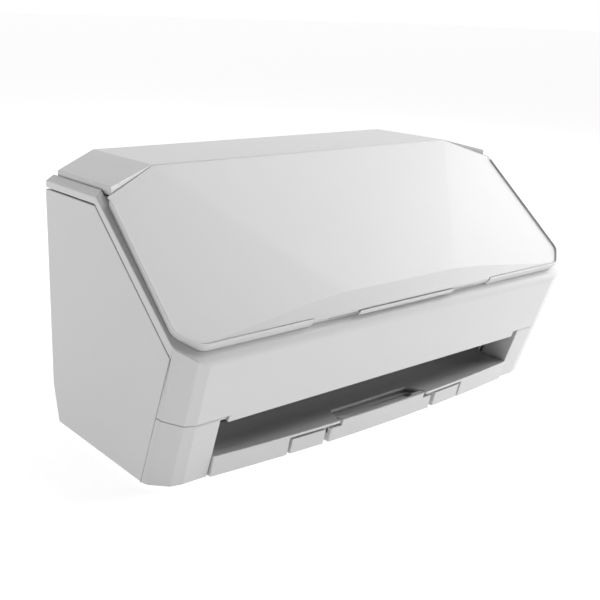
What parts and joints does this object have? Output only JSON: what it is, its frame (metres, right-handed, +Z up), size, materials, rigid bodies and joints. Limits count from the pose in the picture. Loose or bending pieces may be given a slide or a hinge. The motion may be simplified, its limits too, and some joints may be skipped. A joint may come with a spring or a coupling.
{
  "type": "sheet fed document scanner",
  "caption": "Wedge-shaped desktop document scanner whose folding top cover forms the paper chute above a front exit slot with a pull-out stacker tray.",
  "frame": {"origin": "on the desk under the middle of the overall box", "axes": "+X to the machine's right as seen from the front, +Y to the back, +Z up; the paper exit faces -Y"},
  "size_m": [0.292, 0.1609, 0.152],
  "materials": {
    "shell_white": "satin",
    "shell_grey": "satin",
    "guide_black": "satin",
    "scan_glass": "polished",
    "board_green": "gloss",
    "steel": "brushed",
    "bronze": "satin",
    "roller_rubber": "matte",
    "gear_white": "satin",
    "motor_black": "satin",
    "button_blue": "gloss",
    "tab_grey": "satin"
  },
  "bodies": {
    "base": {"base_tray": "shell_grey", "side_panel_left": "shell_grey", "side_panel_right": "shell_grey", "corner_left": "shell_grey", "corner_right": "shell_grey", "rear_cover": "shell_grey", "chassis_left": "steel", "chassis_right": "steel", "chassis_bar": "steel", "lower_guide": "guide_black", "lower_scan_unit": "guide_black", "lower_glass": "scan_glass", "lower_sensor": "board_green", "exit_tray": "shell_grey", "motor": "motor_black", "drive_belt": "roller_rubber", "main_board": "board_green", "power_inlet": "motor_black", "usb_socket": "steel", "feet": "roller_rubber", "case_screws": "steel", "hinge_pins": "steel", "roller_bushes": "bronze"},
    "pick_roller": {"pick_shaft": "steel", "pick_rollers": "roller_rubber", "pick_pulley": "gear_white"},
    "feed_roller": {"feed_shaft": "steel", "feed_rollers": "roller_rubber", "feed_pulley": "gear_white"},
    "eject_roller": {"eject_shaft": "steel", "eject_rollers": "roller_rubber", "eject_pulley": "gear_white"},
    "motor_rotor": {"motor_pulley": "steel"},
    "upper_unit": {"front_cover": "shell_white", "deck_panel": "shell_white", "upper_guide": "guide_black", "upper_scan_unit": "guide_black", "upper_glass": "scan_glass", "upper_sensor": "board_green"},
    "brake": {"brake_roller": "roller_rubber"},
    "feed_idler": {"feed_idlers": "gear_white"},
    "eject_idler": {"eject_idlers": "gear_white"},
    "button": {"scan_button": "button_blue"},
    "release": {"release_tab": "tab_grey"},
    "chute": {"ridge_cap": "shell_white", "cover_plate": "shell_white", "cover_tray": "shell_grey", "chute_frame": "shell_grey", "guide_panel": "shell_grey", "chute_pins": "steel"},
    "guide_left": {"side_guide_left": "shell_grey", "guide_rack_left": "gear_white"},
    "guide_right": {"side_guide_right": "shell_grey", "guide_rack_right": "gear_white"},
    "pinion": {"guide_pinion": "gear_white"},
    "extension": {"chute_extension": "shell_grey"},
    "stacker_outer": {"stacker_tray": "shell_grey"},
    "stacker_inner": {"stacker_slide": "shell_grey"},
    "stop_flap": {"stacker_stop": "shell_grey"}
  },
  "joints": [
    {"name": "upper_hinge", "type": "hinge", "parent": "base", "child": "upper_unit", "pos_m": [0, -0.06627, 0.03734], "axis": [1, 0, 0], "range_deg": [0, 45]},
    {"name": "chute_hinge", "type": "hinge", "parent": "upper_unit", "child": "chute", "pos_m": [0, 0.052, 0.1405], "axis": [-1, 0, 0], "range_deg": [0, 150]},
    {"name": "extension_slide", "type": "slide", "parent": "chute", "child": "extension", "axis": [0, -0.7604, -0.6494], "range_m": [0, 0.045]},
    {"name": "guide_left_slide", "type": "slide", "parent": "chute", "child": "guide_left", "axis": [1, 0, 0], "range_m": [0, 0.072]},
    {"name": "guide_right_slide", "type": "slide", "parent": "chute", "child": "guide_right", "axis": [-1, 0, 0], "range_m": [0, 0.072]},
    {"name": "guide_pinion_spin", "type": "hinge", "parent": "chute", "child": "pinion", "pos_m": [0, 0.00117, 0.11499], "axis": [0, 0.3502, -0.9367], "range_deg": [0, 516]},
    {"name": "scan_button_press", "type": "slide", "parent": "upper_unit", "child": "button", "axis": [0, 0.3502, -0.9367], "range_m": [0, 0.0012], "stiffness_N_per_m": 400, "springref_m": -0.001},
    {"name": "release_tab_slide", "type": "slide", "parent": "upper_unit", "child": "release", "axis": [0, 0.9367, 0.3502], "range_m": [0, 0.005], "stiffness_N_per_m": 200, "springref_m": -0.002},
    {"name": "stacker_outer_slide", "type": "slide", "parent": "base", "child": "stacker_outer", "axis": [0, -1, 0], "range_m": [0, 0.08]},
    {"name": "stacker_inner_slide", "type": "slide", "parent": "stacker_outer", "child": "stacker_inner", "axis": [0, -1, 0], "range_m": [0, 0.08]},
    {"name": "stop_flap_hinge", "type": "hinge", "parent": "stacker_inner", "child": "stop_flap", "pos_m": [0, -0.0639, 0.0116], "axis": [1, 0, 0], "range_deg": [0, 90]},
    {"name": "feed_spin", "type": "hinge", "parent": "base", "child": "feed_roller", "pos_m": [0, 0.00025, 0.07057], "axis": [1, 0, 0], "continuous": true},
    {"name": "pick_spin", "type": "hinge", "parent": "base", "child": "pick_roller", "pos_m": [0, 0.01627, 0.08415], "axis": [1, 0, 0], "continuous": true},
    {"name": "eject_spin", "type": "hinge", "parent": "base", "child": "eject_roller", "pos_m": [0, -0.03636, 0.03952], "axis": [1, 0, 0], "continuous": true},
    {"name": "motor_spin", "type": "hinge", "parent": "base", "child": "motor_rotor", "pos_m": [0, 0.022, 0.05], "axis": [1, 0, 0], "continuous": true},
    {"name": "brake_spin", "type": "hinge", "parent": "upper_unit", "child": "brake", "pos_m": [0, 0.00683, 0.09528], "axis": [1, 0, 0], "continuous": true},
    {"name": "feed_idler_spin", "type": "hinge", "parent": "upper_unit", "child": "feed_idler", "pos_m": [0, -0.00893, 0.08139], "axis": [1, 0, 0], "continuous": true},
    {"name": "eject_idler_spin", "type": "hinge", "parent": "upper_unit", "child": "eject_idler", "pos_m": [0, -0.04554, 0.05035], "axis": [1, 0, 0], "continuous": true}
  ],
  "couplings": [
    {"joint": "pick_spin", "follows": "feed_spin", "ratio": 1},
    {"joint": "eject_spin", "follows": "feed_spin", "ratio": 1},
    {"joint": "motor_spin", "follows": "feed_spin", "ratio": 1.8333},
    {"joint": "feed_idler_spin", "follows": "feed_spin", "ratio": -1.3333},
    {"joint": "eject_idler_spin", "follows": "feed_spin", "ratio": -1.3333},
    {"joint": "guide_right_slide", "follows": "guide_left_slide", "ratio": 1},
    {"joint": "guide_pinion_spin", "follows": "guide_left_slide", "rad_per_m": 125}
  ]
}
